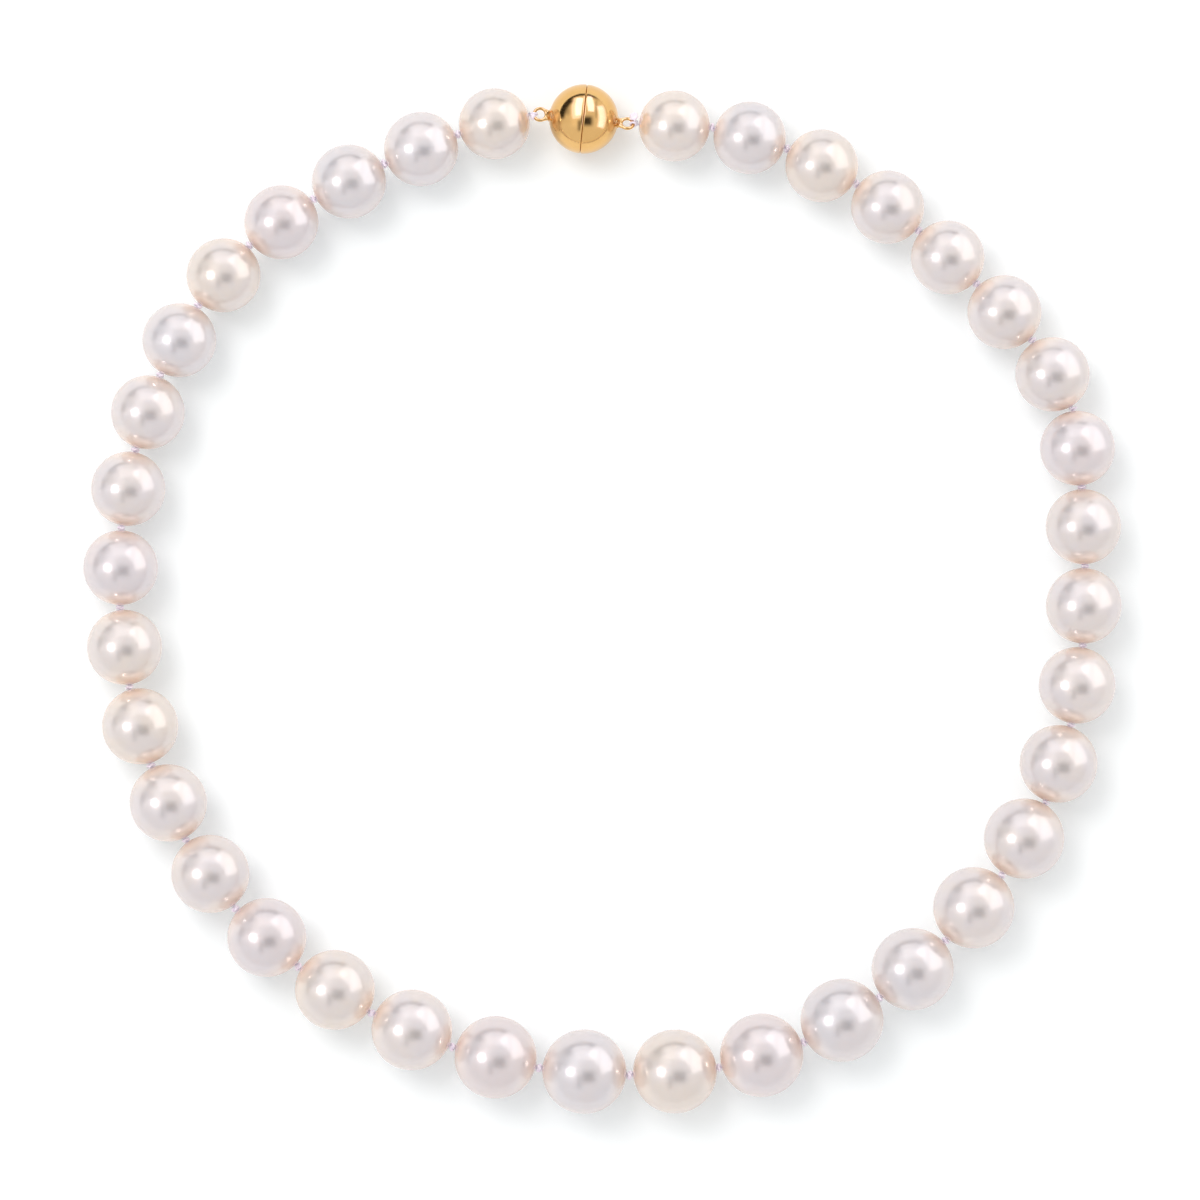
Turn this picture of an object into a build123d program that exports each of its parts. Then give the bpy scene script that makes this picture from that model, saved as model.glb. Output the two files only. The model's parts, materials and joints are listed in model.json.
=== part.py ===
from build123d import *
import math
import os

# A graduated single strand of knotted pearls with a magnetic ball clasp, lying closed
# on a table. Millimetres and degrees. +Z is up, the table is the plane Z = 0, and the
# origin is under the middle of the whole necklace. Pearls and knots are numbered
# clockwise from the right half of the clasp, seen from above.

# The strand
PEARL_COUNT = 36
SIZES = {                   # diameters along the strand; the pearls between them grade evenly
    1: 12.15, 2: 12.4, 5: 12.6, 10: 12.95, 12: 13.3, 13: 13.75, 16: 14.2, 19: 14.4,
    21: 13.8, 25: 13.25, 27: 12.85, 30: 12.65, 35: 12.7, 36: 12.15,
}
HOLE = 1.0                  # diameter of the drilled hole
HOLE_CHAMFER = 0.12
THREAD = 0.7                # diameter of the doubled silk thread
KNOT_WIDTH = 1.35           # across the strand
KNOT_BEVEL = 0.32           # bevel of a knot's edges, as a share of its thickness
THREAD_INSET = 0.1          # the straight lengths end this far from each knot's middle
KNOT_FREE = 0.05            # least space between a knot and each pearl
LOOSE_KNOTS = range(18, 24) # tied less tightly than the others
LOOSER = 0.3                # extra room at each of them
TIGHT_KNOTS = range(8, 13)  # tied more tightly than the others
TIGHTER = 0.22              # room taken away at each of them

# The line that the knots lie along, clockwise from the clasp's right ring
LIE = [
    (18.9, 80.0), (43.3, 70.6), (63.9, 53.4), (80.3, 32.2), (81.9, 18.6),
    (82.0, -8.2), (75.9, -34.3), (59.0, -57.8), (35.0, -75.4), (5.5, -81.1),
    (-24.8, -76.4), (-51.2, -62.8), (-70.6, -41.0), (-80.1, -15.0), (-81.4, 12.3),
    (-74.7, 38.1), (-59.8, 59.9), (-36.9, 73.7), (-24.4, 78.8),
]

# The clasp: a hollow gold ball in two halves, held shut by a magnet in each
BALL = 11.8                 # outer diameter
BALL_CENTRE = (-2.85, 81.45)
BALL_TURN = -6.0            # direction of the clasp's axis in plan
WALL = 0.55                 # thickness of the gold shells
SEAM = 0.12                 # gap between the two rims
RIM_ROUND = 0.3             # rounding of each rim's outer edge
FACE_INSET = 0.06           # the inner faces stand this far back from the rims
FACE_THICK = 0.8
FACE_CLEARANCE = 0.02       # between a face plate and its shell
SPIGOT_BASE = 3.2           # radius of the left face's conical spigot at its foot
SPIGOT_HEIGHT = 0.4
SPIGOT_SLOPE = 55.0         # flank's angle from the clasp's axis
SOCKET_CLEARANCE = 0.18     # between the spigot's flank and the right face's socket
MAGNET_DIAMETER = 4.6
MAGNET_LENGTH = 3.0
MAGNET_GAP = 0.16           # between the two magnets when the clasp is shut

# The ring on each half
RING_OUTER = 2.6
RING_WIRE = 0.55
RING_STAND_OFF = 0.25       # between the ring and the ball, filled by its neck
NECK = 0.62                 # diameter of the neck
RING_SPIN = {"right": -33.0, "left": 8.0}   # tilt of each ring about the clasp's axis
LOOP_THREAD = 0.4           # diameter of the single thread through a ring
LOOP_CLEARANCE = 0.03       # between the thread's loop and the ring's wire
END_KNOT_WIDTH = 1.15
END_KNOT_THICK = 0.5

BALL_RADIUS = BALL / 2
RING_MIDDLE = (RING_OUTER - RING_WIRE) / 2
RING_CENTRE = BALL_RADIUS + RING_STAND_OFF + RING_OUTER / 2
LOOP_MIDDLE = RING_WIRE / 2 + LOOP_CLEARANCE + LOOP_THREAD / 2
END_KNOT = RING_CENTRE + RING_OUTER / 2 + 0.02 + END_KNOT_THICK / 2


def pearl_diameter(number):
    """The size at the nearest listed pearls, shared out evenly between them."""
    before = max(key for key in SIZES if key <= number)
    after = min(key for key in SIZES if key >= number)
    share = (number - before) / max(after - before, 1)
    return SIZES[before] + (SIZES[after] - SIZES[before]) * share


def knot_room(number, gap):
    """The space between the two pearls beside a knot."""
    if number in LOOSE_KNOTS:
        return gap + LOOSER
    return gap - TIGHTER if number in TIGHT_KNOTS else gap


def clasp_point(distance):
    """A point of the clasp's axis, counted from the seam towards the right half."""
    turn = math.radians(BALL_TURN)
    x, y = BALL_CENTRE
    return Vector(x + distance * math.cos(turn), y + distance * math.sin(turn), BALL_RADIUS)


def step_along(line, start, length):
    """The parameter of the line's point that lies a straight length past start."""
    here = line.position_at(start)
    low = start
    high = min(start + 2.5 * length / line.length, 1.2)
    for _ in range(32):
        middle = (low + high) / 2
        if (line.position_at(middle) - here).length < length:
            low = middle
        else:
            high = middle
    return (low + high) / 2


def walk(line, gap):
    """The parameters of all knots, for one gap between neighbouring pearls."""
    places = [0.0]
    for number in range(1, PEARL_COUNT + 1):
        room = (knot_room(number - 1, gap) + knot_room(number, gap)) / 2
        places.append(step_along(line, places[-1], pearl_diameter(number) + room))
    return places


def lay_strand():
    """Knot gap, knot points and pearl centres, with the strand filling its line exactly."""
    first = clasp_point(END_KNOT)
    last = clasp_point(-END_KNOT)
    points = [(first.X, first.Y)] + LIE + [(last.X, last.Y)]
    line = Spline(*points)
    low = 0.3
    high = 1.3
    for _ in range(24):
        gap = (low + high) / 2
        if walk(line, gap)[-1] < 1.0:
            low = gap
        else:
            high = gap
    places = walk(line, gap)
    places[-1] = 1.0
    flat = [line.position_at(place) for place in places]
    radius = [pearl_diameter(number) / 2 for number in range(1, PEARL_COUNT + 1)]
    heights = [BALL_RADIUS]
    heights += [(a + b) / 2 for a, b in zip(radius, radius[1:])]
    heights += [BALL_RADIUS]
    knots = [Vector(p.X, p.Y, z) for p, z in zip(flat, heights)]
    centres = []
    for number, r in enumerate(radius, start=1):
        start, end = knots[number - 1], knots[number]
        reach = r + knot_room(number - 1, gap) / 2
        place = start + (end - start).normalized() * reach
        centres.append(Vector(place.X, place.Y, r))
    balls = list(zip(centres, radius)) + [(clasp_point(0), BALL_RADIUS)]
    left = min(c.X - r for c, r in balls)
    right = max(c.X + r for c, r in balls)
    front = min(c.Y - r for c, r in balls)
    back = max(c.Y + r for c, r in balls)
    shift = Vector(-(left + right) / 2, -(front + back) / 2, 0)
    return gap, [k + shift for k in knots], [c + shift for c in centres], shift


def along(start, end):
    """A frame at start whose Z axis points at end."""
    return Plane(origin=start, z_dir=(end - start).normalized())


def make_pearl(radius, centre, start, end):
    """A drilled pearl, its hole running from one knot to the next."""
    hole = HOLE / 2
    mouth = hole + HOLE_CHAMFER
    edge = math.sqrt(radius ** 2 - mouth ** 2)
    flank = edge - HOLE_CHAMFER
    with BuildSketch(Plane.XZ) as half:
        with BuildLine():
            Line((hole, -flank), (hole, flank))
            Line((hole, flank), (mouth, edge))
            ThreePointArc((mouth, edge), (radius, 0), (mouth, -edge))
            Line((mouth, -edge), (hole, -flank))
        make_face()
    pearl = revolve(half.sketch, Axis.Z, 360)
    return Plane(origin=centre, z_dir=(end - start).normalized()).location * pearl


def make_knot(width, thick, place):
    """A flattened round knot, as a disc with bevelled edges."""
    disc = Cylinder(width / 2, thick)
    rims = disc.edges().filter_by(GeomType.CIRCLE)
    return place.location * chamfer(rims, KNOT_BEVEL * thick)


def make_cylinder(diameter, start, end):
    """A plain round length between two points."""
    place = along(start, end)
    length = (end - start).length
    rod = Cylinder(diameter / 2, length, align=(Align.CENTER, Align.CENTER, Align.MIN))
    return place.location * rod


def clasp_frame(shift, side):
    """The half's own frame: Z out along the clasp's axis, origin in the seam."""
    out = 1 if side == "right" else -1
    axis = (clasp_point(1) - clasp_point(0)) * out
    return Plane(origin=clasp_point(0) + shift, x_dir=(0, 0, 1), z_dir=axis)


def ring_place(side):
    """The ring's frame inside the half's own frame: its hole faces along Z of this one."""
    return Location((0, 0, RING_CENTRE)) * Rotation(0, 0, RING_SPIN[side]) * Rotation(0, 90, 0)


def make_thread(gap, knots, shift):
    """The whole silk thread: one length through every pearl, a knot on each side of each
    pearl, and a loop through each of the clasp's rings."""
    pieces = []
    for start, end in zip(knots, knots[1:]):
        inset = (end - start).normalized() * THREAD_INSET
        pieces.append(make_cylinder(THREAD, start + inset, end - inset))
    for number in range(1, PEARL_COUNT):
        before, here, after = knots[number - 1:number + 2]
        place = Plane(origin=here, z_dir=(after - before).normalized())
        thick = knot_room(number, gap) - 2 * KNOT_FREE
        pieces.append(make_knot(KNOT_WIDTH, thick, place))
    for side in ("right", "left"):
        frame = clasp_frame(shift, side)
        knot = make_knot(END_KNOT_WIDTH, END_KNOT_THICK, Plane((0, 0, END_KNOT)))
        loop = Torus(LOOP_MIDDLE, LOOP_THREAD / 2)
        loop = Location((0, 0, RING_CENTRE + RING_MIDDLE)) * Rotation(0, 0, RING_SPIN[side]) \
            * Rotation(90, 0, 0) * loop
        pieces.append(frame.location * knot)
        pieces.append(frame.location * loop)
    thread = pieces[0]
    return thread.fuse(*pieces[1:])


def make_shell(side, shift):
    """A hollow half-ball with a rounded rim."""
    rim = SEAM / 2
    inner = BALL_RADIUS - WALL
    shell = Sphere(BALL_RADIUS) - Sphere(inner)
    keep = Box(BALL, BALL, BALL, align=(Align.CENTER, Align.CENTER, Align.MIN))
    shell = shell & (Location((0, 0, rim)) * keep)
    edges = shell.edges().filter_by(GeomType.CIRCLE).sort_by(Axis.Z)
    outer = [e for e in edges if e.radius > inner + WALL / 2]
    shell = fillet(outer[0], RIM_ROUND)
    return clasp_frame(shift, side).location * shell


def cone(base, height, start):
    """A solid of revolution tapering at the spigot's slope, rising from start."""
    top = base - height * math.tan(math.radians(SPIGOT_SLOPE))
    solid = Cone(base, top, height, align=(Align.CENTER, Align.CENTER, Align.MIN))
    return Location((0, 0, start)) * solid


def face_back():
    """How far from the seam a face plate's back lies."""
    return SEAM / 2 + FACE_INSET + FACE_THICK


def make_face_plate(side, shift):
    """The plate that closes a half and holds its magnet. The left one carries a conical
    spigot, the right one the socket that it centres in."""
    front = SEAM / 2 + FACE_INSET
    reach = math.sqrt((BALL_RADIUS - WALL) ** 2 - face_back() ** 2) - FACE_CLEARANCE
    disc = Cylinder(reach, FACE_THICK, align=(Align.CENTER, Align.CENTER, Align.MIN))
    plate = Location((0, 0, front)) * disc
    bore = Cylinder(MAGNET_DIAMETER / 2 + FACE_CLEARANCE, 4 * FACE_THICK)
    if side == "left":
        spigot = cone(SPIGOT_BASE, SPIGOT_HEIGHT, 0)
        plate = plate + Location((0, 0, front)) * Rotation(180, 0, 0) * spigot
    else:
        depth = socket_bottom() - front
        wide = SPIGOT_BASE + SOCKET_CLEARANCE / math.cos(math.radians(SPIGOT_SLOPE))
        wide -= 2 * front * math.tan(math.radians(SPIGOT_SLOPE))
        plate = plate - cone(wide, depth, front)
    plate = plate - bore
    return clasp_frame(shift, side).location * plate


def spigot_tip():
    """The spigot's flat end, counted from the seam towards the right half."""
    return SPIGOT_HEIGHT - SEAM / 2 - FACE_INSET


def socket_bottom():
    """The socket's flat floor, counted from the seam towards the right half."""
    return spigot_tip() + MAGNET_GAP


def make_magnet(side, shift):
    """A plain disc magnet, its face level with the spigot's end or the socket's floor."""
    start = -spigot_tip() if side == "left" else socket_bottom()
    disc = Cylinder(
        MAGNET_DIAMETER / 2, MAGNET_LENGTH, align=(Align.CENTER, Align.CENTER, Align.MIN)
    )
    return clasp_frame(shift, side).location * Location((0, 0, start)) * disc


def make_ring(side, shift):
    """A closed wire ring on a short neck, soldered to the top of its half-ball."""
    ring = ring_place(side) * Torus(RING_MIDDLE, RING_WIRE / 2)
    length = RING_STAND_OFF + RING_WIRE
    neck = Cylinder(NECK / 2, length + 0.5, align=(Align.CENTER, Align.CENTER, Align.MIN))
    neck = Location((0, 0, BALL_RADIUS - 0.5)) * neck
    whole = ring + neck
    whole = whole - ring_place(side) * Cylinder(RING_MIDDLE - RING_WIRE / 2, 2 * NECK)
    whole = whole - Sphere(BALL_RADIUS)
    return clasp_frame(shift, side).location * whole


def write(name, shape):
    """One STEP file for one named piece."""
    solids = shape.solids()
    piece = solids[0] if len(solids) == 1 else Compound(children=solids)
    piece.label = name
    export_step(piece, f"parts/{name}.step")
    print(f"{name}: {len(solids)} solid, {sum(s.volume for s in solids):.2f} mm3")


def main():
    os.makedirs("parts", exist_ok=True)
    gap, knots, centres, shift = lay_strand()
    print(f"gap between pearls {gap:.3f} mm")
    length = sum((b - a).length for a, b in zip(knots, knots[1:])) + 2 * END_KNOT
    print(f"closed length {length:.1f} mm")
    for number, centre in enumerate(centres, start=1):
        pearl = make_pearl(
            pearl_diameter(number) / 2, centre, knots[number - 1], knots[number]
        )
        write(f"pearl_{number:02d}", pearl)
    write("silk_thread", make_thread(gap, knots, shift))
    for side in ("right", "left"):
        write(f"clasp_shell_{side}", make_shell(side, shift))
        write(f"clasp_face_{side}", make_face_plate(side, shift))
        write(f"magnet_{side}", make_magnet(side, shift))
        write(f"clasp_ring_{side}", make_ring(side, shift))


if __name__ == "__main__":
    main()
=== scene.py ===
import json
import math

import bmesh
import bpy
import numpy as np
from mathutils import Matrix, Vector, noise

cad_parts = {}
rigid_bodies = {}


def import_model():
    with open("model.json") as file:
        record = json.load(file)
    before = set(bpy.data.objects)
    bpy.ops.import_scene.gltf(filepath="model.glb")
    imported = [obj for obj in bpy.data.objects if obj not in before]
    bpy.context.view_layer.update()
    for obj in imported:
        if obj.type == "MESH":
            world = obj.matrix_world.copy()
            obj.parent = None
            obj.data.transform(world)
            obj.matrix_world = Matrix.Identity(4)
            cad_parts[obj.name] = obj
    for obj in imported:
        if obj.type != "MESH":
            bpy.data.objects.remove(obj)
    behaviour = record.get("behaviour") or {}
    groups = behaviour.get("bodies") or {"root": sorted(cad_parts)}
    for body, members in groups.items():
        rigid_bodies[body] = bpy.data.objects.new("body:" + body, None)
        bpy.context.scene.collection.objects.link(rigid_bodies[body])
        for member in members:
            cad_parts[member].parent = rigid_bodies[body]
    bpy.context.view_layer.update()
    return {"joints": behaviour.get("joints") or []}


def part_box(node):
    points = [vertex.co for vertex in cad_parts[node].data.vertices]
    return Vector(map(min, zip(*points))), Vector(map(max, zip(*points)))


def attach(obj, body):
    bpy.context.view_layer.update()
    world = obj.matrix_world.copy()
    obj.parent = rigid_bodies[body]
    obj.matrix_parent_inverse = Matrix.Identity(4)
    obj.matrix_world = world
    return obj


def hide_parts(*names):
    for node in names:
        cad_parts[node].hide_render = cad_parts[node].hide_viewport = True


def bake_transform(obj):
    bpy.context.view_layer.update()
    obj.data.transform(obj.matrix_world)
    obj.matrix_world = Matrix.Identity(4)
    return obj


# A knotted pearl necklace with a magnetic ball clasp, lying closed on a white table.
# Pearl and knot numbers are the frame's: clockwise from the clasp's right half. Places and
# sizes come from the frame; lengths named in MM below are in millimetres.

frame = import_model()

MM = 0.001
UP = Vector((0, 0, 1))

# Pearls
PEARLS = 36
HOLE = 1.0 * MM             # drilled hole
MOUTH = 0.14 * MM           # rounding of the hole's mouths
AROUND, ALONG = 72, 52      # mesh divisions of a pearl
UNEVEN = 0.004              # how far a pearl falls short of round, as a share of its radius
PEACH_PEARLS = (1, 3, 18, 22, 26, 27, 32, 36)
ROSE_PEARLS = (8, 17, 20, 23, 28, 33)
SILVER_PEARLS = (2, 15, 16, 19, 31, 34, 35)
BLEMISHED_PEARLS = (1, 2, 7, 9, 19, 23, 27, 33)

# Silk
YARN = 0.35 * MM            # each of the two strands that make up the doubled thread
YARN_PITCH = 2.4 * MM       # one full turn of the two strands round each other
STRANDS, STRAND_DEPTH = 3, 0.22     # lobes of a yarn's section, and how deep they are
KNOT_YARN = 0.5 * MM        # the doubled thread as it is tied
KNOT_REACH = 0.86 * MM      # half of a knot's width
KNOT_FILL = 0.97            # how much of the gap between two pearls a knot fills
KNOT_TILT = math.radians(5)     # the most that a knot is tipped off the strand
KNOT_STEPS = 132            # points along a knot's strand

# Clasp
BALL_RADIUS = 5.9 * MM
WALL = 0.55 * MM
RIM = 0.015 * MM            # from the seam's middle to each rim
RIM_ROUND = 0.22 * MM
FACE = 0.12 * MM            # from the seam's middle to each face plate
FACE_BACK = 0.92 * MM       # and to the plate's back
SPIGOT_FOOT, SPIGOT_HEIGHT = 3.2 * MM, 0.4 * MM
SOCKET_FOOT = 3.34 * MM
MAGNET_RADIUS, MAGNET_LENGTH = 2.3 * MM, 3.0 * MM
MAGNET_GAP = 0.16 * MM      # between the two magnets
CONE_RUN = math.tan(math.radians(55.0))     # how fast the spigot narrows
RING_MIDDLE, RING_WIRE = 1.025 * MM, 0.275 * MM     # the ring's radius and its wire's
RING_CENTRE = 7.45 * MM     # from the seam's middle
RING_SPIN = {"right": -33.0, "left": 8.0}   # tilt of each ring about the clasp's axis
LEG_SPREAD = math.radians(52)   # where the ring's two legs leave it
SOLDER_GRAIN = 0.045        # the ring's mesh size, in millimetres
ON_AXIS = 1e-6 * MM         # a turned piece's first and last radius
# The solder neck between each ring and its ball: distance from the ring's middle, half width
# and half thickness, in millimetres
NECK_SECTIONS = ((0.92, 0.55, 0.24), (1.1, 0.70, 0.34), (1.3, 0.78, 0.44), (1.45, 0.92, 0.64),
                 (1.6, 1.1, 0.95), (1.75, 1.25, 1.15))
LOOP_RADIUS, LOOP_YARN = 0.505 * MM, 0.4 * MM
MOUTH_OUT = 9.3 * MM        # where the thread leaves each end pearl, from the seam's middle
# Each end knot's middle in its half's frame (up, sideways, out from the seam), and its reach
END_KNOT = {"right": Vector((0.35, -1.2, 8.45)) * MM, "left": Vector((0.1, -0.45, 8.65)) * MM}
END_REACH = {"right": 0.86 * MM, "left": 0.66 * MM}

# Camera and light
FIELD = 0.204               # width of table that the picture shows, at the pearls' middle
CAMERA_HEIGHT = 1.2
CAMERA_PLACE = (-0.0004, -0.0002)
FOCUS_HEIGHT = 0.0065       # the pearls' middle
SENSOR = 36.0
TABLE_GLOW = 0.165
STRIP_DISTANCE = 1.6        # from the clasp to each light that is seen in the gold
STRIP_COLOUR = (0.7, 0.74, 1.7)


# ---- Places from the frame ----

def knot_places():
    """Where each knot is: the point that its joint turns about."""
    places = {}
    for joint in frame["joints"]:
        name = joint["name"]
        number = 0 if name == "clasp_spin" else int(name.split("_")[1])
        places[number] = Vector(joint["pos_m"])
    return [places[number] for number in range(PEARLS + 1)]


def pearl_name(number):
    return f"pearl_{number:02d}"


def pearl_ball(number):
    """Middle and radius of a pearl."""
    low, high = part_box(pearl_name(number))
    return (low + high) / 2, max(high - low) / 2


def clasp_axis():
    """The clasp's axis, from its seam towards its right half."""
    spin = next(joint for joint in frame["joints"] if joint["name"] == "clasp_spin")
    return Vector(spin["axis"]).normalized()


def upright(origin, z_axis, x_axis):
    """A frame with a given Z axis, and X as near as it can be to x_axis."""
    z = z_axis.normalized()
    y = z.cross(x_axis).normalized()
    x = y.cross(z)
    place = Matrix((x, y, z)).transposed().to_4x4()
    place.translation = origin
    return place


def half_place(side):
    """A clasp half's own frame: origin in the seam, Z out along the clasp's axis."""
    low_r, high_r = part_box("clasp_shell_right")
    low_l, high_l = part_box("clasp_shell_left")
    low = Vector(map(min, low_r, low_l))
    high = Vector(map(max, high_r, high_l))
    out = 1 if side == "right" else -1
    return upright((low + high) / 2, clasp_axis() * out, UP)


def ring_place(side):
    """A ring's own frame: the ring lies round its Z axis, and X points back at the ball."""
    spin = Matrix.Rotation(math.radians(RING_SPIN[side]), 4, "Z")
    face = Matrix.Rotation(math.radians(90), 4, "Y")
    return half_place(side) @ Matrix.Translation((0, 0, RING_CENTRE)) @ spin @ face


KNOTS = knot_places()


# ---- Mesh making ----

def new_object(name, vertices, faces, material, place=None, smooth=True):
    """A mesh object in the row frame."""
    mesh = bpy.data.meshes.new(name)
    mesh.from_pydata([tuple(v) for v in vertices], [], faces)
    mesh.validate()
    work = bmesh.new()
    work.from_mesh(mesh)
    bmesh.ops.remove_doubles(work, verts=work.verts, dist=1e-7)
    bmesh.ops.recalc_face_normals(work, faces=work.faces)
    work.to_mesh(mesh)
    work.free()
    mesh.shade_smooth() if smooth else mesh.shade_flat()
    thing = bpy.data.objects.new(name, mesh)
    bpy.context.scene.collection.objects.link(thing)
    thing.data.materials.append(material)
    if place is not None:
        thing.matrix_world = place
    return thing


def lathe(profile, around, closed):
    """Turns a list of (radius, height) points round Z. A closed profile makes a ring; an
    open one starts and ends on the axis."""
    vertices = []
    for radius, height in profile:
        for step in range(around):
            angle = 2 * math.pi * step / around
            vertices.append(Vector((radius * math.cos(angle), radius * math.sin(angle),
                                    height)))
    rows = len(profile)
    faces = []
    for row in range(rows if closed else rows - 1):
        after = (row + 1) % rows
        for step in range(around):
            beside = (step + 1) % around
            faces.append((row * around + step, row * around + beside,
                          after * around + beside, after * around + step))
    return vertices, faces


def arc(centre, radius, start, end, steps):
    """Points of a circular arc in a profile, its angles in degrees from the outward axis."""
    points = []
    for step in range(steps + 1):
        angle = math.radians(start + (end - start) * step / steps)
        points.append((centre[0] + radius * math.cos(angle),
                       centre[1] + radius * math.sin(angle)))
    return points


def circle_points(radius, steps):
    points = []
    for step in range(steps):
        angle = 2 * math.pi * step / steps
        points.append((radius * math.cos(angle), radius * math.sin(angle)))
    return points


def sweep(points, radius, sides, turns=0.0, ply=0, depth=0.0, closed=False):
    """A tube along points. With ply, its section has that many lobes, which wind round it
    as the strands of a yarn do."""
    count = len(points)
    tangents = []
    for index in range(count):
        before = points[(index - 1) % count] if closed or index else points[0]
        after = points[(index + 1) % count] if closed or index < count - 1 else points[-1]
        tangents.append((after - before).normalized())
    side = tangents[0].orthogonal().normalized()
    sides_along = []
    for tangent in tangents:
        side = (side - tangent * side.dot(tangent)).normalized()
        sides_along.append(side.copy())
    slip = 0.0
    if closed:
        end = (side - tangents[0] * side.dot(tangents[0])).normalized()
        first = sides_along[0]
        slip = math.atan2(tangents[0].dot(end.cross(first)), end.dot(first))
    vertices = []
    for index in range(count):
        share = index / count if closed else index / (count - 1)
        twist = slip * share + 2 * math.pi * turns * share
        u = sides_along[index]
        v = tangents[index].cross(u)
        for step in range(sides):
            angle = 2 * math.pi * step / sides
            reach = radius * (1 - depth * (0.5 - 0.5 * math.cos(ply * angle)) if ply else 1)
            around = angle + twist
            out = u * math.cos(around) + v * math.sin(around)
            vertices.append(points[index] + out * reach)
    faces = []
    for index in range(count if closed else count - 1):
        after = (index + 1) % count
        for step in range(sides):
            beside = (step + 1) % sides
            faces.append((index * sides + step, index * sides + beside,
                          after * sides + beside, after * sides + step))
    if not closed:
        faces.append(tuple(range(sides)))
        faces.append(tuple(range((count - 1) * sides, count * sides)))
    return vertices, faces


def loft(sections):
    """A closed tube through oval sections across X, given as X, half width, half height."""
    sides = 32
    vertices, faces = [], []
    for x, half_width, half_height in sections:
        for step in range(sides):
            angle = 2 * math.pi * step / sides
            vertices.append(Vector((x, half_width * math.cos(angle),
                                    half_height * math.sin(angle))))
    for row in range(len(sections) - 1):
        for step in range(sides):
            beside = (step + 1) % sides
            faces.append((row * sides + step, row * sides + beside,
                          (row + 1) * sides + beside, (row + 1) * sides + step))
    faces.append(tuple(range(sides)))
    faces.append(tuple(range((len(sections) - 1) * sides, len(sections) * sides)))
    return vertices, faces


def gather(parts):
    """Several (vertices, faces) as one."""
    vertices, faces = [], []
    for points, polygons in parts:
        first = len(vertices)
        vertices += points
        faces += [tuple(first + corner for corner in polygon) for polygon in polygons]
    return vertices, faces


# ---- Materials ----

def new_material(name):
    material = bpy.data.materials.new(name)
    material.use_nodes = True
    return material, material.node_tree.nodes, material.node_tree.links


def add(nodes, kind, **settings):
    node = nodes.new(kind)
    for key, value in settings.items():
        if key.startswith("in_"):
            node.inputs[key[3:].replace("_", " ")].default_value = value
        else:
            setattr(node, key, value)
    return node


def settle(shader, **settings):
    """Sets a shader's sockets, named with _ for a space."""
    for key, value in settings.items():
        shader.inputs[key.replace("_", " ")].default_value = value


def feed(links, sockets, values):
    """Each value is another node's socket, a number or a colour."""
    for socket, value in zip(sockets, values):
        if isinstance(value, bpy.types.NodeSocket):
            links.new(value, socket)
        elif isinstance(value, tuple):
            socket.default_value = (*value, 1.0)
        else:
            socket.default_value = value


def mix_colour(nodes, links, factor, first, second):
    mix = nodes.new("ShaderNodeMix")
    mix.data_type = "RGBA"
    feed(links, (mix.inputs[0], mix.inputs[6], mix.inputs[7]), (factor, first, second))
    return mix.outputs[2]


def maths(nodes, links, operation, *values):
    node = nodes.new("ShaderNodeMath")
    node.operation = operation
    feed(links, node.inputs, values)
    return node.outputs[0]


def ramp_value(nodes, links, value, low, high, to_low=0.0, to_high=1.0, kind="SMOOTHSTEP"):
    """A value from low to high, brought to run from to_low to to_high and held there."""
    node = nodes.new("ShaderNodeMapRange")
    node.interpolation_type = kind
    links.new(value, node.inputs[0])
    for socket, number in zip(node.inputs[1:5], (low, high, to_low, to_high)):
        socket.default_value = number
    return node.outputs[0]


def blend_value(nodes, links, factor, first, second):
    mix = nodes.new("ShaderNodeMix")
    feed(links, (mix.inputs[0], mix.inputs[2], mix.inputs[3]), (factor, first, second))
    return mix.outputs[0]


# Nacre: main colour, the colour it drifts to, and a painted light colour round the drill holes,
# warm and light, that stands in for the neighbouring pearls' reflected light and lifts the
# contact shade there
NACRE = {
    "cream": ((0.735, 0.67, 0.655), (0.715, 0.665, 0.685), (0.97, 0.83, 0.73)),
    "peach": ((0.76, 0.68, 0.63), (0.73, 0.67, 0.66), (0.98, 0.82, 0.70)),
    "rose": ((0.725, 0.65, 0.66), (0.70, 0.65, 0.68), (0.96, 0.82, 0.75)),
    "silver": ((0.715, 0.665, 0.68), (0.69, 0.66, 0.695), (0.94, 0.83, 0.77)),
}


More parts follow.
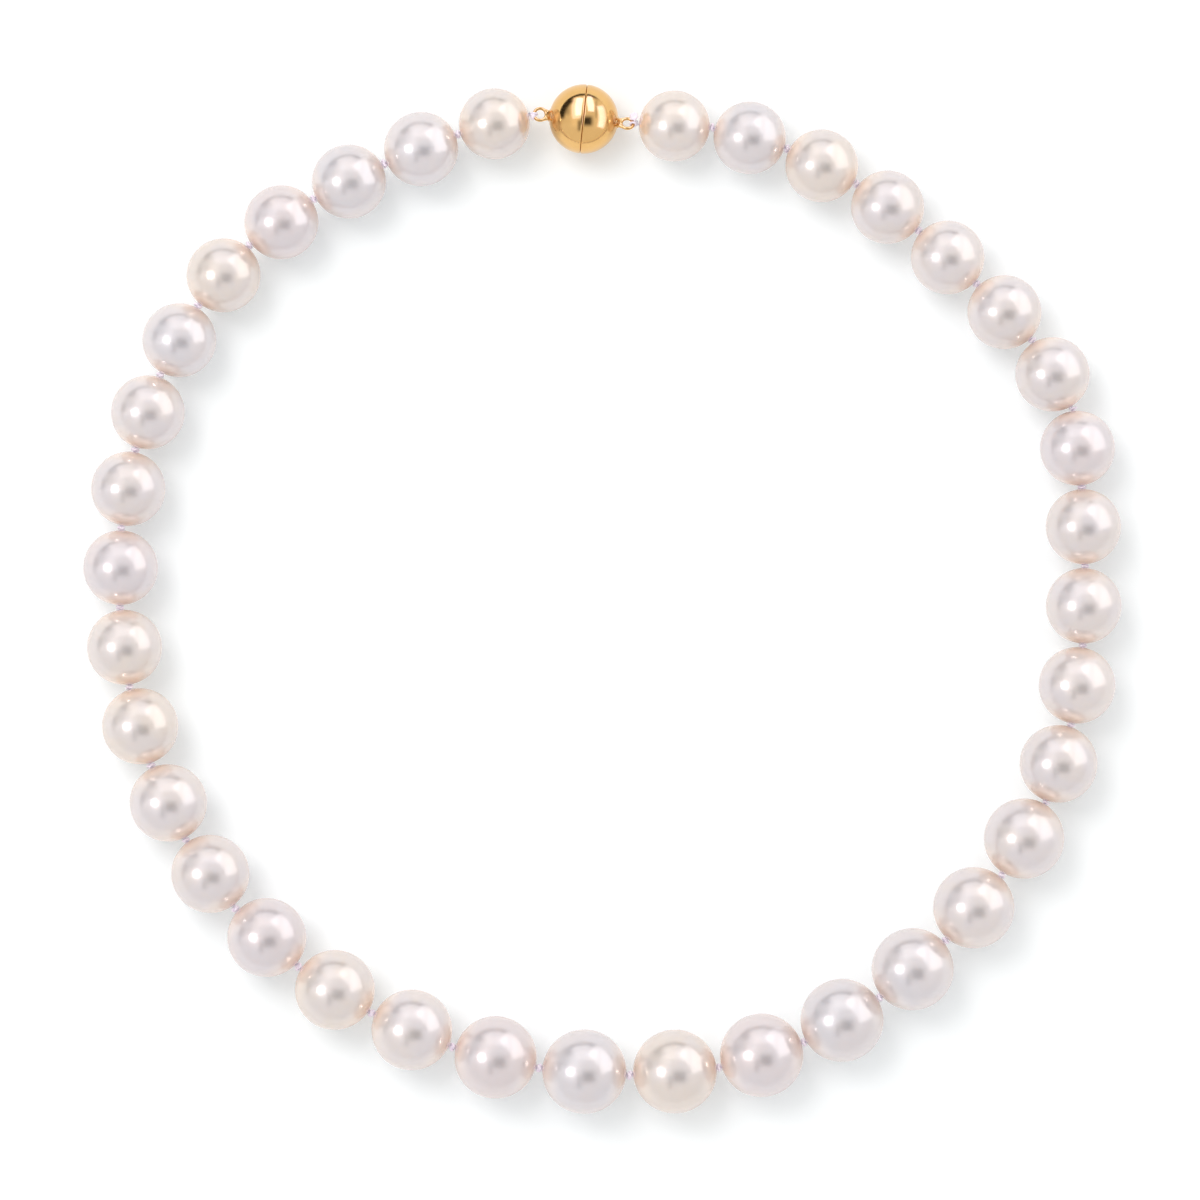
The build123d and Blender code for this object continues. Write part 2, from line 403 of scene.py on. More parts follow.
def nacre(number, radius):
    """One pearl's own nacre. Each is a little different in tint, bands and blemishes."""
    kind = "cream"
    for name, members in (("peach", PEACH_PEARLS), ("rose", ROSE_PEARLS),
                          ("silver", SILVER_PEARLS)):
        if number in members:
            kind = name
    body, drift, pole_light_colour = NACRE[kind]
    rough = np.random.default_rng(500 + number)
    shift = 1 + 0.02 * rough.uniform(-1, 1)
    body = tuple(min(channel * shift, 0.95) for channel in body)
    material, nodes, links = new_material(f"nacre_{number:02d}")
    shader = nodes["Principled BSDF"]

    place = nodes.new("ShaderNodeTexCoord").outputs["Object"]
    unit = add(nodes, "ShaderNodeVectorMath", operation="SCALE")
    unit.inputs["Scale"].default_value = 1 / radius
    links.new(place, unit.inputs[0])
    offset = add(nodes, "ShaderNodeVectorMath", operation="ADD")
    offset.inputs[1].default_value = tuple(rough.uniform(0, 40, 3))
    links.new(unit.outputs[0], offset.inputs[0])
    seeded = offset.outputs[0]
    apart = nodes.new("ShaderNodeSeparateXYZ")
    links.new(unit.outputs[0], apart.inputs[0])
    height = maths(nodes, links, "ABSOLUTE", apart.outputs["Z"])

    # slow drift of hue over the surface
    clouds = add(nodes, "ShaderNodeTexNoise", in_Scale=1.1, in_Detail=2.0, in_Roughness=0.5)
    links.new(seeded, clouds.inputs["Vector"])
    drifted = ramp_value(nodes, links, clouds.outputs["Fac"], 0.38, 0.62)
    colour = mix_colour(nodes, links, drifted, body, drift)

    # growth bands round the drill axis, faint and uneven
    bands = add(nodes, "ShaderNodeTexNoise", in_Scale=1.0, in_Detail=3.0, in_Roughness=0.6)
    stretch = add(nodes, "ShaderNodeMapping")
    stretch.inputs["Scale"].default_value = (0.35, 0.35, 9.0)
    links.new(seeded, stretch.inputs["Vector"])
    links.new(stretch.outputs[0], bands.inputs["Vector"])
    banded = ramp_value(nodes, links, bands.outputs["Fac"], 0.35, 0.75, 0.0, 0.35)
    colour = mix_colour(nodes, links, banded, colour, drift)

    # painted reflection and light: warmer, lighter colour towards the holes, where the
    # neighbouring pearls are reflected and where the shade between touching pearls is lifted
    pole_light_falloff = ramp_value(nodes, links, height, 0.5, 1.0, 0.0, 0.7)
    painted_pole_light = maths(nodes, links, "MULTIPLY", pole_light_falloff,
                   ramp_value(nodes, links, clouds.outputs["Fac"], 0.25, 0.6, 0.65, 1.0))
    colour = mix_colour(nodes, links, painted_pole_light, colour, pole_light_colour)

    # the bead and the cut edge of the nacre show in the hole
    wide = add(nodes, "ShaderNodeCombineXYZ")
    links.new(apart.outputs["X"], wide.inputs[0])
    links.new(apart.outputs["Y"], wide.inputs[1])
    reach = add(nodes, "ShaderNodeVectorMath", operation="LENGTH")
    links.new(wide.outputs[0], reach.inputs[0])
    edge = HOLE / 2 / radius
    bore = ramp_value(nodes, links, reach.outputs["Value"], edge * 1.02, edge * 1.25, 1.0, 0.0)
    colour = mix_colour(nodes, links, bore, colour, (0.62, 0.55, 0.47))

    # pits and pricks: a few on most pearls, a cluster on some
    specks = add(nodes, "ShaderNodeTexVoronoi", in_Scale=6.0, in_Randomness=1.0)
    links.new(seeded, specks.inputs["Vector"])
    near = ramp_value(nodes, links, specks.outputs["Distance"], 0.02, 0.09, 1.0, 0.0)
    patch = add(nodes, "ShaderNodeTexNoise", in_Scale=0.9, in_Detail=1.0)
    links.new(seeded, patch.inputs["Vector"])
    limits = (0.55, 0.62) if number in BLEMISHED_PEARLS else (0.74, 0.8)
    spotted = maths(nodes, links, "MULTIPLY", near,
                    ramp_value(nodes, links, patch.outputs["Fac"], *limits))
    dim = maths(nodes, links, "MULTIPLY", spotted, 0.07)
    colour = mix_colour(nodes, links, dim, colour, (0.55, 0.45, 0.42))
    links.new(colour, shader.inputs["Base Color"])

    # surface: satin body under a clear bright layer
    satin = add(nodes, "ShaderNodeTexNoise", in_Scale=3.5, in_Detail=3.0, in_Roughness=0.55)
    links.new(seeded, satin.inputs["Vector"])
    links.new(ramp_value(nodes, links, satin.outputs["Fac"], 0.3, 0.7, 0.20, 0.265, "LINEAR"),
              shader.inputs["Roughness"])
    ripple = add(nodes, "ShaderNodeTexNoise", in_Scale=4.0, in_Detail=2.0, in_Roughness=0.4)
    links.new(seeded, ripple.inputs["Vector"])
    hollow = maths(nodes, links, "MULTIPLY", spotted, -0.45)
    waves = maths(nodes, links, "MULTIPLY", ripple.outputs["Fac"], 1.2)
    relief = maths(nodes, links, "ADD", waves, hollow)
    bump = add(nodes, "ShaderNodeBump", in_Strength=0.35, in_Distance=0.02 * MM)
    links.new(relief, bump.inputs["Height"])
    links.new(bump.outputs[0], shader.inputs["Normal"])
    links.new(bump.outputs[0], shader.inputs["Coat Normal"])
    settle(shader, Metallic=0.4, IOR=1.55, Specular_Tint=(1.0, 0.86, 0.77, 1.0),
           Coat_Weight=0.7, Coat_Roughness=0.08, Coat_IOR=1.45,
           Coat_Tint=(1.0, 0.985, 0.97, 1.0),
           Sheen_Weight=0.05, Sheen_Roughness=0.45, Sheen_Tint=(1.0, 0.86, 0.78, 1.0),
           Subsurface_Weight=0.12, Subsurface_Radius=(1.0, 0.7, 0.55),
           Subsurface_Scale=0.8 * MM)
    return material


def polished_gold():
    """Bright gold plate over brass, with the faint haze and fine scratches of wear."""
    material, nodes, links = new_material("gold_plate")
    shader = nodes["Principled BSDF"]
    place = nodes.new("ShaderNodeTexCoord").outputs["Object"]
    haze = add(nodes, "ShaderNodeTexNoise", in_Scale=350.0, in_Detail=4.0, in_Roughness=0.55)
    links.new(place, haze.inputs["Vector"])
    fine = add(nodes, "ShaderNodeTexNoise", in_Scale=1.0, in_Detail=5.0, in_Roughness=0.7)
    drawn = add(nodes, "ShaderNodeMapping")
    drawn.inputs["Scale"].default_value = (9000.0, 900.0, 5200.0)
    drawn.inputs["Rotation"].default_value = (0.5, 0.3, 0.7)
    links.new(place, drawn.inputs["Vector"])
    links.new(drawn.outputs[0], fine.inputs["Vector"])
    colour = mix_colour(nodes, links,
                        ramp_value(nodes, links, haze.outputs["Fac"], 0.35, 0.65),
                        (0.755, 0.45, 0.165), (0.785, 0.48, 0.185))
    links.new(colour, shader.inputs["Base Color"])
    rough = maths(nodes, links, "ADD",
                  ramp_value(nodes, links, haze.outputs["Fac"], 0.3, 0.7, 0.10, 0.15, "LINEAR"),
                  ramp_value(nodes, links, fine.outputs["Fac"], 0.55, 0.8, 0.0, 0.06, "LINEAR"))
    links.new(rough, shader.inputs["Roughness"])
    bump = add(nodes, "ShaderNodeBump", in_Strength=0.12, in_Distance=0.01 * MM)
    links.new(fine.outputs["Fac"], bump.inputs["Height"])
    links.new(bump.outputs[0], shader.inputs["Normal"])
    settle(shader, Metallic=1.0)
    return material


def nickel():
    """Bright nickel plate on the magnets, lightly rubbed in rings where the halves turn."""
    material, nodes, links = new_material("nickel_plate")
    shader = nodes["Principled BSDF"]
    place = nodes.new("ShaderNodeTexCoord").outputs["Object"]
    rubbed = add(nodes, "ShaderNodeTexWave", wave_type="RINGS", rings_direction="Z",
                 in_Scale=1400.0, in_Distortion=1.5, in_Detail=2.0)
    links.new(place, rubbed.inputs["Vector"])
    cloud = add(nodes, "ShaderNodeTexNoise", in_Scale=900.0, in_Detail=4.0)
    links.new(place, cloud.inputs["Vector"])
    colour = mix_colour(nodes, links, cloud.outputs["Fac"],
                        (0.62, 0.60, 0.57), (0.74, 0.72, 0.69))
    links.new(colour, shader.inputs["Base Color"])
    links.new(ramp_value(nodes, links, rubbed.outputs["Fac"], 0.2, 0.9, 0.18, 0.265, "LINEAR"),
              shader.inputs["Roughness"])
    bump = add(nodes, "ShaderNodeBump", in_Strength=0.15, in_Distance=0.01 * MM)
    links.new(rubbed.outputs["Fac"], bump.inputs["Height"])
    links.new(bump.outputs[0], shader.inputs["Normal"])
    settle(shader, Metallic=1.0)
    return material


def silk():
    """White silk with a lilac cast: fine fibres, a soft sheen and a faint painted glow."""
    material, nodes, links = new_material("silk")
    shader = nodes["Principled BSDF"]
    place = nodes.new("ShaderNodeTexCoord").outputs["Object"]
    fibres = add(nodes, "ShaderNodeTexNoise", in_Scale=9000.0, in_Detail=4.0, in_Roughness=0.65)
    links.new(place, fibres.inputs["Vector"])
    clouds = add(nodes, "ShaderNodeTexNoise", in_Scale=700.0, in_Detail=2.0)
    links.new(place, clouds.inputs["Vector"])
    colour = mix_colour(nodes, links,
                        ramp_value(nodes, links, clouds.outputs["Fac"], 0.35, 0.65),
                        (0.85, 0.78, 0.90), (0.90, 0.85, 0.94))
    colour = mix_colour(nodes, links,
                        ramp_value(nodes, links, fibres.outputs["Fac"], 0.3, 0.7, 0.0, 0.35),
                        colour, (0.88, 0.82, 0.92))
    links.new(colour, shader.inputs["Base Color"])
    links.new(ramp_value(nodes, links, fibres.outputs["Fac"], 0.3, 0.7, 0.45, 0.7, "LINEAR"),
              shader.inputs["Roughness"])
    bump = add(nodes, "ShaderNodeBump", in_Strength=0.5, in_Distance=0.03 * MM)
    links.new(fibres.outputs["Fac"], bump.inputs["Height"])
    links.new(bump.outputs[0], shader.inputs["Normal"])
    # painted glow: a faint lilac emission that lifts the knots out of the shade between the
    # pearls, standing in for light passed through the fine strands
    settle(shader, Emission_Color=(0.93, 0.78, 0.95, 1.0), Emission_Strength=0.14)
    settle(shader, Sheen_Weight=0.6, Sheen_Roughness=0.35, Sheen_Tint=(0.95, 0.9, 1.0, 1.0))
    return material


def table_white():
    """White acrylic, lit a little from below."""
    material, nodes, links = new_material("table_white")
    shader = nodes["Principled BSDF"]
    place = nodes.new("ShaderNodeTexCoord").outputs["Object"]
    grain = add(nodes, "ShaderNodeTexNoise", in_Scale=60.0, in_Detail=3.0)
    links.new(place, grain.inputs["Vector"])
    colour = mix_colour(nodes, links, grain.outputs["Fac"],
                        (0.9, 0.9, 0.9), (0.91, 0.91, 0.91))
    links.new(colour, shader.inputs["Base Color"])
    settle(shader, Roughness=0.9, Specular_IOR_Level=0.1,
           Emission_Color=(0.86, 1.0, 1.03, 1.0), Emission_Strength=TABLE_GLOW)
    return material


GOLD = polished_gold()
NICKEL = nickel()
SILK = silk()


# ---- Pearls ----

def make_pearl(number):
    """A drilled pearl, round but for the slight unevenness and shallow dents of a real one."""
    centre, radius = pearl_ball(number)
    rough = np.random.default_rng(100 + number)
    hole = HOLE / 2
    mouth = hole + MOUTH
    tilt = math.asin(mouth / radius)
    edge = radius * math.cos(tilt)
    turn = 90 - math.degrees(tilt)
    outside = arc((0, 0), radius, turn, -turn, ALONG)
    lip_top = arc((mouth, edge - MOUTH), MOUTH, 180, turn, 4)[:-1]
    lip_low = [(r, -z) for r, z in reversed(lip_top)]
    wall = [(hole, height * edge) for height in (-0.9, -0.5, 0.0, 0.5, 0.9)]
    vertices, faces = lathe(wall + lip_top + outside + lip_low, AROUND, True)
    dents = []
    for _ in range(rough.integers(1, 4)):
        aim = Vector(rough.normal(size=3)).normalized()
        dents.append((aim, rough.uniform(0.15, 0.35), rough.uniform(0.001, 0.003)))
    seed = Vector(rough.uniform(0, 50, 3))
    for vertex in vertices:
        if Vector((vertex.x, vertex.y)).length < mouth:
            continue
        aim = vertex.normalized()
        lack = UNEVEN * (0.5 + 0.5 * noise.noise(aim * 1.3 + seed))
        lack += 0.25 * UNEVEN * (0.5 + 0.5 * noise.noise(aim * 4.0 + seed))
        for middle, width, depth in dents:
            lack += depth * math.exp(-((aim - middle).length / width) ** 2)
        vertex *= 1 - lack
    along = KNOTS[number] - KNOTS[number - 1]
    pearl = new_object(f"drilled_pearl_{number:02d}", vertices, faces, nacre(number, radius),
                       upright(centre, along, UP))
    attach(pearl, pearl_name(number))
    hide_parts(pearl_name(number))


for pearl_number in range(1, PEARLS + 1):
    make_pearl(pearl_number)


# ---- Silk thread ----

def yarn_pair(route, start_turn):
    """The doubled thread: two strands that wind round each other along a route."""
    travelled = [0.0]
    for before, after in zip(route, route[1:]):
        travelled.append(travelled[-1] + (after - before).length)
    parts = []
    for strand in (0.0, 0.5):
        points = []
        for index, point in enumerate(route):
            before = route[max(index - 1, 0)]
            after = route[min(index + 1, len(route) - 1)]
            tangent = (after - before).normalized()
            u = tangent.cross(UP).normalized()
            v = tangent.cross(u)
            angle = 2 * math.pi * (travelled[index] / YARN_PITCH + strand + start_turn)
            points.append(point + (u * math.cos(angle) + v * math.sin(angle)) * YARN * 0.5)
        parts.append(sweep(points, YARN / 2, 10, turns=6, ply=STRANDS, depth=STRAND_DEPTH))
    return gather(parts)


def overhand(reach, thick, place):
    """A tied knot: one strand that goes three times round itself, drawn up tight."""
    yarn = min(KNOT_YARN, thick * 0.66)
    swing = (reach - yarn / 2) / 3
    lift = (thick - yarn) / 2
    points = []
    for step in range(KNOT_STEPS):
        t = 2 * math.pi * step / KNOT_STEPS
        points.append(place @ Vector((
            swing * (math.sin(t) + 2 * math.sin(2 * t)),
            swing * (math.cos(t) - 2 * math.cos(2 * t)),
            -lift * math.sin(3 * t),
        )))
    return sweep(points, yarn / 2, 12, turns=14, ply=STRANDS, depth=0.13, closed=True)


def line_points(start, end, shares):
    return [start.lerp(end, share) for share in shares]


def knot_frame(number, along):
    """A knot's own frame, tipped a little off the strand, each one differently, and the
    random draws that made it."""
    rough = np.random.default_rng(900 + number)
    spin = Matrix.Rotation(rough.uniform(0, 2 * math.pi), 4, "Z")
    tip = Matrix.Rotation(rough.uniform(-1, 1) * KNOT_TILT, 4, "X")
    return upright(KNOTS[number], along, UP) @ tip @ spin, rough


def make_knot(number):
    """The thread from one pearl's middle to the next one's, with the knot between them."""
    before, r_before = pearl_ball(number)
    after, r_after = pearl_ball(number + 1)
    middle = KNOTS[number]
    room = (after - before).length - r_before - r_after
    place, rough = knot_frame(number, after - before)
    shares = (0.0, 0.3, 0.6, 0.8, 0.86, 0.9, 0.93, 0.96, 0.98)
    route = line_points(before, middle, shares) + [middle]
    route += list(reversed(line_points(after, middle, shares)))
    reach = KNOT_REACH * rough.uniform(0.9, 1.04)
    parts = [yarn_pair(route, number * 0.37), overhand(reach, room * KNOT_FILL, place)]
    vertices, faces = gather(parts)
    piece = new_object(f"silk_knot_{number:02d}", vertices, faces, SILK)
    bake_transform(piece)
    return piece


def make_end(side):
    """The thread's end: out of the end pearl, a knot, and a loop through the clasp's ring."""
    number = 0 if side == "right" else PEARLS
    pearl = 1 if side == "right" else PEARLS
    half = half_place(side)
    inner, _ = pearl_ball(pearl)
    mouth = half @ Vector((0, 0, MOUTH_OUT))
    middle = half @ END_KNOT[side]
    place, _ = knot_frame(number, (inner - middle).normalized())
    place.translation = middle
    route = line_points(inner, mouth, (0.0, 0.3, 0.6, 0.8, 0.88, 0.93, 0.97))
    route += line_points(mouth, middle, (0.0, 0.35, 0.7, 1.0))
    loop = [ring_place(side) @ Vector((x - RING_MIDDLE, 0, y))
            for x, y in circle_points(LOOP_RADIUS, 72)]
    reach = END_REACH[side]
    across = place @ Matrix.Rotation(math.radians(70), 4, "X")
    parts = [
        yarn_pair(route, 0.2),
        overhand(reach, 1.3 * reach, place),
        overhand(0.92 * reach, 1.2 * reach, across),
        sweep(loop, LOOP_YARN / 2, 12, turns=5, ply=STRANDS, depth=STRAND_DEPTH, closed=True),
    ]
    vertices, faces = gather(parts)
    piece = new_object(f"silk_loop_{side}", vertices, faces, SILK)
    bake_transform(piece)
    return piece


silk_pieces = [make_knot(knot_number) for knot_number in range(1, PEARLS)]
silk_pieces += [make_end("right"), make_end("left")]
for silk_piece in silk_pieces:
    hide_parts("silk_thread")


# ---- Clasp ----

def place_clasp_piece(piece, side, node):
    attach(piece, f"clasp_half_{side}")
    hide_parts(node)


def make_shell(side):
    """A gold half-ball: outside, rolled rim, inside."""
    outer, inner = BALL_RADIUS, BALL_RADIUS - WALL
    roll_height = RIM + RIM_ROUND
    roll_reach = math.sqrt((outer - RIM_ROUND) ** 2 - roll_height ** 2)
    meet = math.degrees(math.atan2(roll_height, roll_reach))
    start = math.degrees(math.asin(RIM / inner))
    profile = [(ON_AXIS, outer)]
    profile += arc((0, 0), outer, 89, meet, 40)
    profile += arc((roll_reach, roll_height), RIM_ROUND, meet, -90, 8)[1:]
    profile += [(inner * math.cos(math.radians(start)), RIM)]
    profile += arc((0, 0), inner, start, 89, 24)[1:]
    profile += [(ON_AXIS, inner)]
    vertices, faces = lathe(profile, 128, False)
    shell = new_object(f"gold_half_ball_{side}", vertices, faces, GOLD, half_place(side))
    place_clasp_piece(shell, side, f"clasp_shell_{side}")


def make_face(side):
    """The plate that closes a half: a cone that centres the clasp, or the socket for it."""
    reach = math.sqrt((BALL_RADIUS - WALL) ** 2 - FACE_BACK ** 2) - 0.02 * MM
    bore = MAGNET_RADIUS + 0.02 * MM
    soft = 0.06 * MM
    if side == "left":
        top = SPIGOT_FOOT - SPIGOT_HEIGHT * CONE_RUN
        middle = [(SPIGOT_FOOT + soft, FACE), (SPIGOT_FOOT - soft, FACE - soft / CONE_RUN),
                  (top + soft, FACE - SPIGOT_HEIGHT + soft / CONE_RUN),
                  (top, FACE - SPIGOT_HEIGHT), (bore + soft, FACE - SPIGOT_HEIGHT)]
        lip = FACE - SPIGOT_HEIGHT
    else:
        deep = SPIGOT_HEIGHT - FACE + MAGNET_GAP
        low = max(SOCKET_FOOT - (deep - FACE) * CONE_RUN, bore + 3 * soft)
        middle = [(SOCKET_FOOT + soft, FACE), (SOCKET_FOOT, FACE + soft / CONE_RUN),
                  (low + soft, deep - soft / CONE_RUN), (low, deep), (bore + soft, deep)]
        lip = deep
    profile = [(reach, FACE + soft), (reach - soft, FACE)] + middle
    profile += [(bore, lip + soft), (bore, FACE_BACK), (reach, FACE_BACK)]
    vertices, faces = lathe(profile, 96, True)
    face = new_object(f"gold_face_{side}", vertices, faces, GOLD, half_place(side))
    shade_by_angle(face)
    place_clasp_piece(face, side, f"clasp_face_{side}")


def make_magnet(side):
    """A plated disc magnet with softened edges, level with the face round it."""
    tip = SPIGOT_HEIGHT - FACE
    front = -tip if side == "left" else tip + MAGNET_GAP
    back = front + MAGNET_LENGTH
    soft = 0.15 * MM
    profile = [(ON_AXIS, front)]
    profile += arc((MAGNET_RADIUS - soft, front + soft), soft, -90, 0, 5)
    profile += arc((MAGNET_RADIUS - soft, back - soft), soft, 0, 90, 5)
    profile += [(ON_AXIS, back)]
    vertices, faces = lathe(profile, 72, False)
    magnet = new_object(f"disc_magnet_{side}", vertices, faces, NICKEL, half_place(side))
    shade_by_angle(magnet)
    place_clasp_piece(magnet, side, f"magnet_{side}")


def shade_by_angle(thing):
    """Keeps the creases of a turned piece crisp."""
    work = bmesh.new()
    work.from_mesh(thing.data)
    for edge in work.edges:
        if len(edge.link_faces) == 2 and edge.calc_face_angle() > math.radians(28):
            edge.smooth = False
    work.to_mesh(thing.data)
    work.free()


def make_ring(side):
    """A wire ring soldered to its half-ball by two short legs that run together. It is made
    in millimetres and then brought to size."""
    wire = RING_WIRE / MM
    middle = RING_MIDDLE / MM
    circle = [Vector((x, y, 0)) for x, y in circle_points(middle, 96)]
    parts = [sweep(circle, wire, 16, closed=True)]
    foot = (RING_CENTRE - BALL_RADIUS) / MM + 0.1
    for turn in (-1, 1):
        start = Vector((middle * math.cos(LEG_SPREAD), turn * middle * math.sin(LEG_SPREAD), 0))
        leg = line_points(start, Vector((foot, turn * 0.5, 0)), (0, 0.35, 0.7, 1.0))
        parts.append(sweep(leg, wire * 1.08, 16))
    parts.append(loft(NECK_SECTIONS))
    foot_profile = [(1e-6, foot - 0.3), (0.5, foot - 0.28), (0.72, foot - 0.16),
                    (1.0, foot - 0.03), (1.0, foot + 0.2), (1e-6, foot + 0.2)]
    turned, polygons = lathe(foot_profile, 32, False)
    lie_down = Matrix.Rotation(math.radians(90), 4, "Y")
    parts.append(([lie_down @ v for v in turned], polygons))
    vertices, faces = gather(parts)
    ring = new_object(f"gold_ring_{side}", vertices, faces, GOLD)
    remesh = ring.modifiers.new("solder", "REMESH")
    remesh.mode = "VOXEL"
    remesh.voxel_size = SOLDER_GRAIN
    remesh.use_smooth_shade = True
    soften = ring.modifiers.new("soften", "SMOOTH")
    soften.factor = 0.5
    soften.iterations = 6
    bpy.context.view_layer.update()
    solid = bpy.data.meshes.new_from_object(ring.evaluated_get(
        bpy.context.evaluated_depsgraph_get()))
    ring.modifiers.clear()
    ring.data = solid
    ring.data.transform(Matrix.Scale(MM, 4))
    ring.data.materials.clear()
    ring.data.materials.append(GOLD)
    ring.data.shade_smooth()
    ring.matrix_world = ring_place(side)
    place_clasp_piece(ring, side, f"clasp_ring_{side}")


for clasp_side in ("right", "left"):
    make_shell(clasp_side)
    make_face(clasp_side)
    make_magnet(clasp_side)
    make_ring(clasp_side)


# ---- Table, light and camera ----

def make_table():
    """A plain table, wide enough to fill every view. It is staged, not part of the object."""
    reach = 3.0
    corners = [(-reach, -reach, 0), (reach, -reach, 0), (reach, reach, 0), (-reach, reach, 0)]
    table = new_object("table", [Vector(c) for c in corners], [(0, 1, 2, 3)], table_white(),
                       smooth=False)


def softbox(name, place, aim, size, radiance, colour=(1, 1, 1)):
    """A square or oblong area light of a given brightness, pointed at a place."""
    light = bpy.data.lights.new(name, "AREA")
    light.shape = "RECTANGLE"
    light.size, light.size_y = size
    light.energy = radiance * math.pi * size[0] * size[1]
    light.color = colour
    lamp = bpy.data.objects.new(name, light)
    bpy.context.scene.collection.objects.link(lamp)
    lamp.location = place
    lamp.rotation_euler = (Vector(aim) - Vector(place)).to_track_quat("-Z", "Y").to_euler()
    lamp.visible_camera = False
    return lamp


def toward(zenith, bearing, distance):
    """A place at an angle from straight up, on a compass bearing (0 is +X, 90 is +Y)."""
    z, b = math.radians(zenith), math.radians(bearing)
    return Vector((math.sin(z) * math.cos(b), math.sin(z) * math.sin(b), math.cos(z))) * distance


# What the studio looks like in a mirror ball seen from above: soft-edged patches, each given
# as middle x, middle y, half width, half height, softness and brightness.
TENT_LEVEL = 0.94
TENT_PATCHES = (
    (0.0, 0.44, 0.26, 0.16, 0.22, 1.08),        # light from behind
    (-0.23, 0.16, 0.12, 0.40, 0.18, 1.12),      # long strip on the left
    (0.46, 0.08, 0.10, 0.38, 0.14, 1.0),        # long strip on the right
    (0.36, 0.25, 0.02, 0.25, 0.06, 0.5),        # gap beside it
    (0.10, -0.09, 0.15, 0.13, 0.16, 0.05),      # dark opening for the camera
    (-0.12, -0.22, 0.045, 0.15, 0.12, 0.22),
    (-0.48, 0.28, 0.08, 0.17, 0.16, 0.5),
)
# Dim gaps low down behind and to the left: where each starts and ends outwards from the
# ball's middle, its bearing, the spread that it fades over, and its brightness
GAPS = (
    ((0.62, 0.67, 0.70, 0.715), 122.0, (0.25, 0.6), 0.06),
    ((0.50, 0.60, 0.70, 0.715), 150.0, (0.80, 0.93), 0.04),
)


def make_world():
    """A white tent with long strip lights. Straight views of it are plain white."""
    world = bpy.data.worlds.new("tent")
    bpy.context.scene.world = world
    world.use_nodes = True
    nodes, links = world.node_tree.nodes, world.node_tree.links
    nodes.clear()
    direction = nodes.new("ShaderNodeTexCoord").outputs["Generated"]
    raised = add(nodes, "ShaderNodeVectorMath", operation="ADD")
    raised.inputs[1].default_value = (0, 0, 1)
    links.new(direction, raised.inputs[0])
    facing = add(nodes, "ShaderNodeVectorMath", operation="NORMALIZE")
    links.new(raised.outputs[0], facing.inputs[0])
    apart = nodes.new("ShaderNodeSeparateXYZ")
    links.new(facing.outputs[0], apart.inputs[0])
    flat = nodes.new("ShaderNodeCombineXYZ")
    links.new(apart.outputs["X"], flat.inputs[0])
    links.new(apart.outputs["Y"], flat.inputs[1])
    out_from_middle = add(nodes, "ShaderNodeVectorMath", operation="LENGTH")
    links.new(flat.outputs[0], out_from_middle.inputs[0])
    radius = out_from_middle.outputs["Value"]

    level = TENT_LEVEL
    for x, y, half_x, half_y, soft, bright in TENT_PATCHES:
        share = []
        for axis, middle, half in (("X", x, half_x), ("Y", y, half_y)):
            off = maths(nodes, links, "ABSOLUTE",
                        maths(nodes, links, "SUBTRACT", apart.outputs[axis], middle))
            edge = half - soft / 2, half + soft / 2
            share.append(ramp_value(nodes, links, off, *edge, 1.0, 0.0))
        inside = maths(nodes, links, "MULTIPLY", *share)
        level = blend_value(nodes, links, inside, level, bright)
    level_direction = add(nodes, "ShaderNodeVectorMath", operation="NORMALIZE")
    links.new(flat.outputs[0], level_direction.inputs[0])
    for reach, bearing, spread, bright in GAPS:
        turn = math.radians(bearing)
        facing_gap = add(nodes, "ShaderNodeVectorMath", operation="DOT_PRODUCT")
        facing_gap.inputs[1].default_value = (math.cos(turn), math.sin(turn), 0)
        links.new(level_direction.outputs[0], facing_gap.inputs[0])
        inner = ramp_value(nodes, links, radius, *reach[:2])
        outer = ramp_value(nodes, links, radius, *reach[2:], 1.0, 0.0)
        swept = ramp_value(nodes, links, facing_gap.outputs["Value"], *spread)
        belt = maths(nodes, links, "MULTIPLY", inner, outer)
        gap = maths(nodes, links, "MULTIPLY", belt, swept)
        level = blend_value(nodes, links, gap, level, bright)

    lit = nodes.new("ShaderNodeBackground")
    links.new(level, lit.inputs["Strength"])
    plain = nodes.new("ShaderNodeBackground")
    settle(plain, Color=(0.96, 0.96, 0.96, 1))
    settle(lit, Color=(1.0, 1.0, 1.0, 1))
    path = nodes.new("ShaderNodeLightPath")
    choose = nodes.new("ShaderNodeMixShader")
    links.new(path.outputs["Is Camera Ray"], choose.inputs[0])
    links.new(lit.outputs[0], choose.inputs[1])
    links.new(plain.outputs[0], choose.inputs[2])
    out = nodes.new("ShaderNodeOutputWorld")
    links.new(choose.outputs[0], out.inputs["Surface"])


make_table()
make_world()
key = softbox("key", toward(39, 180, 2.2), (0, 0, 0), (0.5, 0.56), 14.0)
back = softbox("back", toward(50, 88, 2.0), (0, 0, 0), (1.9, 1.0), 0.4)
wall = softbox("wall", toward(80, 118, 1.8), (0, 0, 0), (3.0, 0.9), 0.25)
left_wall = softbox("left_wall", toward(75, 163, 1.8), (0, 0, 0), (1.5, 0.95), 0.4)
card = softbox("card", (0.67, 0.436, 0.33), (0, 0, 0), (1.15, 0.9), 0.95)
fill = softbox("fill", toward(36, 132, 2.0), (0, 0, 0), (1.1, 1.1), 3.6)
fill.visible_glossy = False
nacre_lights = (key, back, wall, left_wall, card)


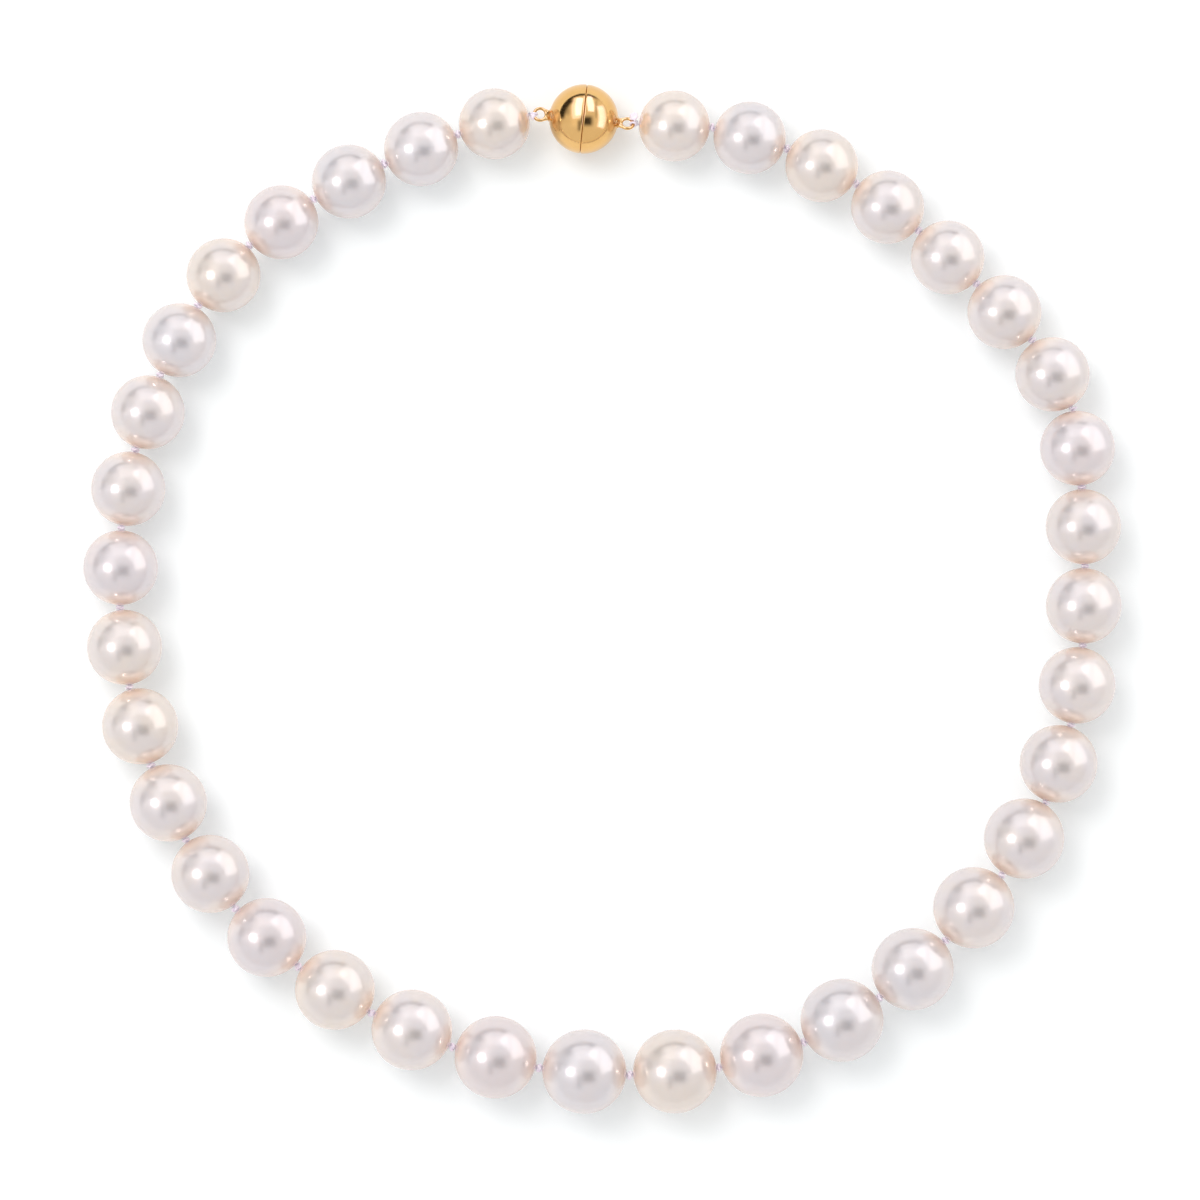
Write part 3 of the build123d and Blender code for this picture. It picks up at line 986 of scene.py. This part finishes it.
def seen_at(x, y):
    """The direction that a mirror ball shows at a place on it, seen from above."""
    z = math.sqrt(1 - x * x - y * y)
    return Vector((2 * x * z, 2 * y * z, 2 * z * z - 1))


def strip(name, x, y, half_x, half_y, radiance):
    """A cool light that the clasp's ball shows in a given patch, in parts of its radius."""
    clasp = half_place("right").translation
    across = (seen_at(x + half_x, y) - seen_at(x - half_x, y)) * STRIP_DISTANCE
    along = (seen_at(x, y + half_y) - seen_at(x, y - half_y)) * STRIP_DISTANCE
    place = clasp + seen_at(x, y) * STRIP_DISTANCE
    size = across.length, along.length
    lamp = softbox(name, place, clasp, size, radiance, STRIP_COLOUR)
    lamp.matrix_world = upright(place, seen_at(x, y), across)
    return lamp


gold_lights = (
    strip("strip_left_wide", -0.19, 0.30, 0.16, 0.38, 0.7),
    strip("strip_left", -0.14, 0.34, 0.10, 0.30, 1.5),
    strip("strip_top", 0.19, 0.42, 0.10, 0.24, 1.9),
    strip("strip_right_wide", 0.54, 0.05, 0.12, 0.42, 0.8),
    strip("strip_right", 0.54, 0.05, 0.08, 0.37, 1.7),
)

# Two sets of shine lights, one for the gold and one for everything else, and neither casts
# shadows on the table
for lights, on_gold in ((nacre_lights, False), (gold_lights, True)):
    shone_on = bpy.data.collections.new("gold_pieces" if on_gold else "other_pieces")
    bpy.context.scene.collection.children.link(shone_on)
    for thing in list(bpy.data.objects):
        if thing.type == "MESH" and thing.name.startswith("gold_") == on_gold:
            shone_on.objects.link(thing)
    for shine in lights:
        shine.visible_diffuse = False
        shine.light_linking.receiver_collection = shone_on

camera_data = bpy.data.cameras.new("camera")
camera_data.sensor_width = SENSOR
camera_data.lens = SENSOR * (CAMERA_HEIGHT - FOCUS_HEIGHT) / FIELD
camera_data.clip_start, camera_data.clip_end = 0.05, 20.0
camera = bpy.data.objects.new("camera", camera_data)
camera.location = (*CAMERA_PLACE, CAMERA_HEIGHT)
bpy.context.scene.collection.objects.link(camera)
bpy.context.scene.camera = camera
bpy.context.scene.view_settings.view_transform = "Standard"
